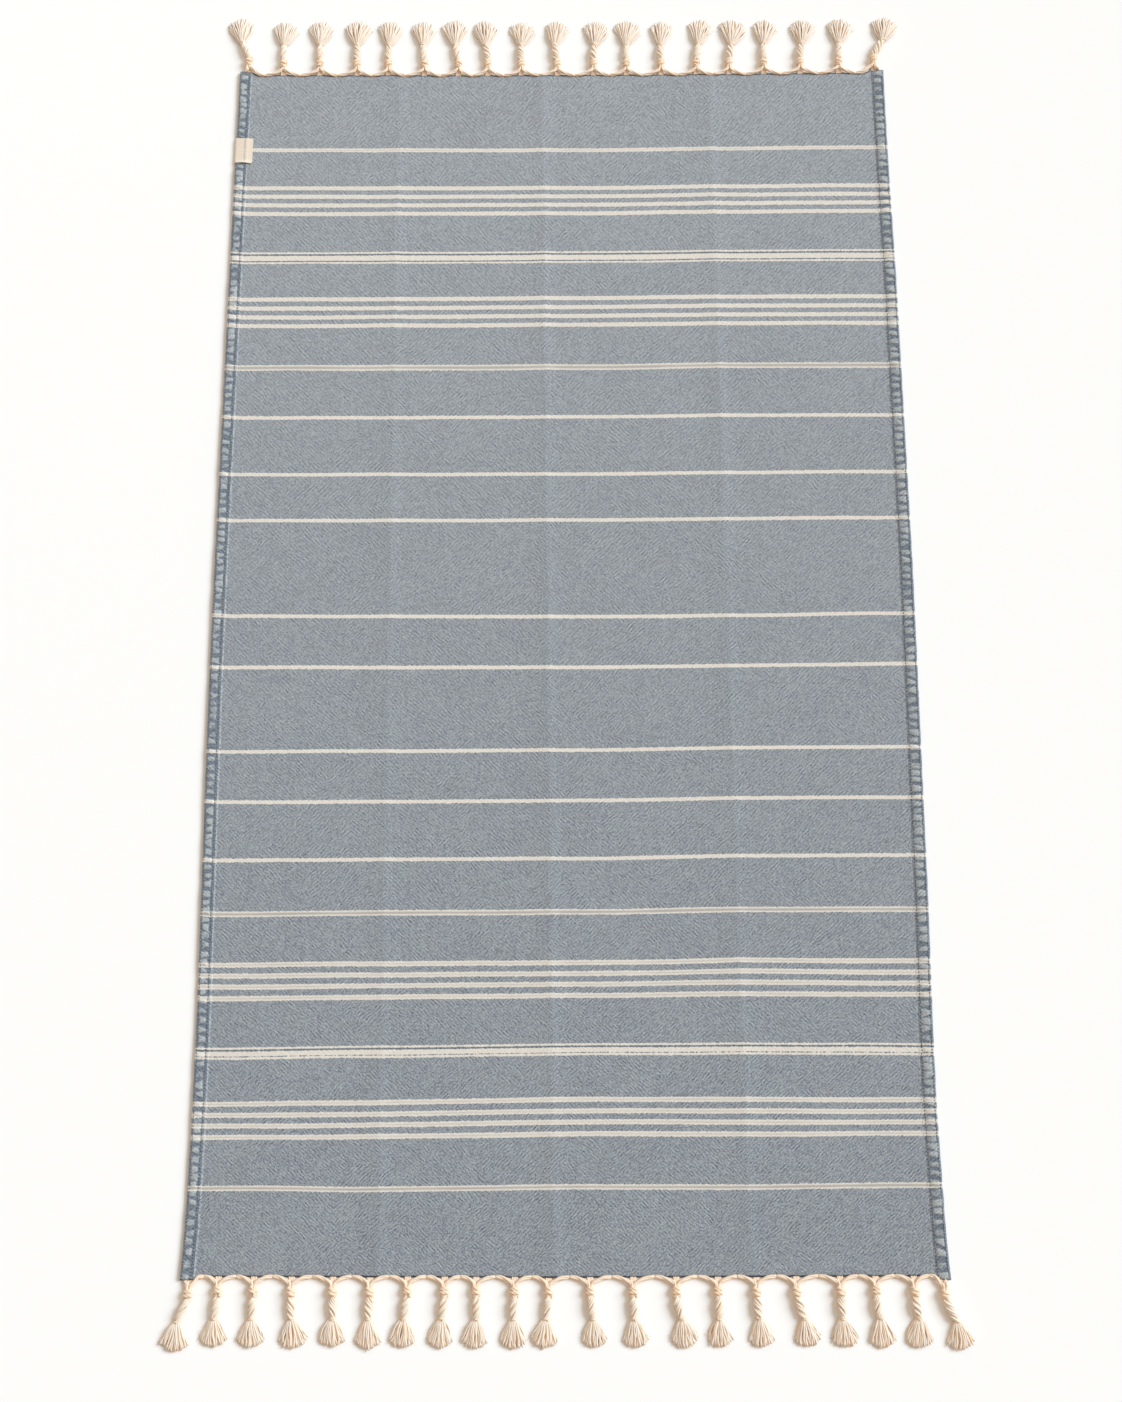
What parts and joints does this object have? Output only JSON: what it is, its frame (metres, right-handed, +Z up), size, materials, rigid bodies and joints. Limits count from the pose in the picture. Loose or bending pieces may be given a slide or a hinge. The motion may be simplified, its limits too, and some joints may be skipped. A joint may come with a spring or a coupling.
{
  "type": "hammam towel",
  "caption": "Flat-woven grey-blue cotton towel with cream cross stripes, hemmed long sides, a bare label and knotted tassels on both ends, laid flat.",
  "frame": {"origin": "middle of the underside of the whole towel, tassels included, on the surface it lies on", "axes": "+Y along the towel towards the end with the label, +X across it with the label at -X, +Z up, out of the upper face"},
  "size_m": [1.0512, 1.9828, 0.01],
  "materials": {
    "cloth": "matt two-tone grey-blue cotton twill with cream weft stripes",
    "label": "matt woven cream tape, bare",
    "yarn": "soft undyed cotton yarn, knotted and twisted, with loose tips"
  },
  "bodies": {
    "root": {"towel_cloth": "cloth", "label": "label", "tassel_far_01": "yarn", "tassel_far_02": "yarn", "tassel_far_03": "yarn", "tassel_far_04": "yarn", "tassel_far_05": "yarn", "tassel_far_06": "yarn", "tassel_far_07": "yarn", "tassel_far_08": "yarn", "tassel_far_09": "yarn", "tassel_far_10": "yarn", "tassel_far_11": "yarn", "tassel_far_12": "yarn", "tassel_far_13": "yarn", "tassel_far_14": "yarn", "tassel_far_15": "yarn", "tassel_far_16": "yarn", "tassel_far_17": "yarn", "tassel_far_18": "yarn", "tassel_far_19": "yarn", "tassel_near_01": "yarn", "tassel_near_02": "yarn", "tassel_near_03": "yarn", "tassel_near_04": "yarn", "tassel_near_05": "yarn", "tassel_near_06": "yarn", "tassel_near_07": "yarn", "tassel_near_08": "yarn", "tassel_near_09": "yarn", "tassel_near_10": "yarn", "tassel_near_11": "yarn", "tassel_near_12": "yarn", "tassel_near_13": "yarn", "tassel_near_14": "yarn", "tassel_near_15": "yarn", "tassel_near_16": "yarn", "tassel_near_17": "yarn", "tassel_near_18": "yarn", "tassel_near_19": "yarn", "tassel_near_20": "yarn", "tassel_near_21": "yarn"}
  },
  "joints": []
}
